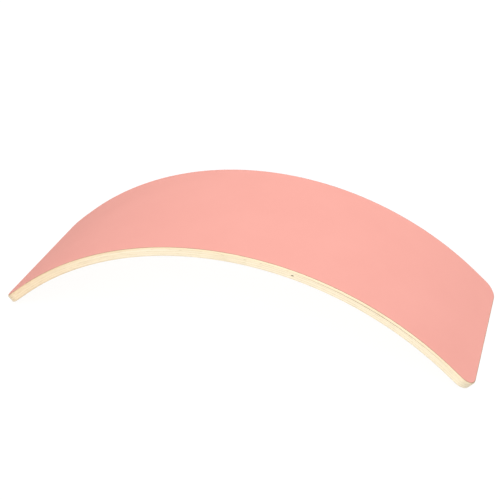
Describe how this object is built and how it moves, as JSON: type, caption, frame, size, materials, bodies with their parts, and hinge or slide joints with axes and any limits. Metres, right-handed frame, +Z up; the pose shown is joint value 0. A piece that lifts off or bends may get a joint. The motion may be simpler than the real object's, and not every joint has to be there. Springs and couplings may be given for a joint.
{
  "type": "curved balance board",
  "caption": "Curved balance board of bent plywood with a pink laminate face, round corners and rounded edges, standing as an arch.",
  "frame": {"origin": "on the floor, midway between the two ends and midway across the board, with the board standing as an arch on its ends", "axes": "+X along the board, +Y across it, +Z up; the pink face looks up"},
  "size_m": [0.828, 0.3, 0.1847],
  "materials": {
    "laminate": "smooth matte pink laminate",
    "laminate_adhesive": "thin brownish adhesive line",
    "long_grain_veneer": "pale birch, sanded and clear coated, grain along the board",
    "cross_grain_veneer": "pale birch, sanded, end grain at the long edges",
    "glue": "thin amber glue line"
  },
  "bodies": {
    "root": {"laminate_sheet": "laminate", "laminate_adhesive": "laminate_adhesive", "veneer_1": "long_grain_veneer", "veneer_2": "cross_grain_veneer", "veneer_3": "long_grain_veneer", "veneer_4": "cross_grain_veneer", "veneer_5": "long_grain_veneer", "veneer_6": "cross_grain_veneer", "veneer_7": "long_grain_veneer", "veneer_8": "cross_grain_veneer", "veneer_9": "long_grain_veneer", "glue_line_1": "glue", "glue_line_2": "glue", "glue_line_3": "glue", "glue_line_4": "glue", "glue_line_5": "glue", "glue_line_6": "glue", "glue_line_7": "glue", "glue_line_8": "glue"}
  },
  "joints": []
}
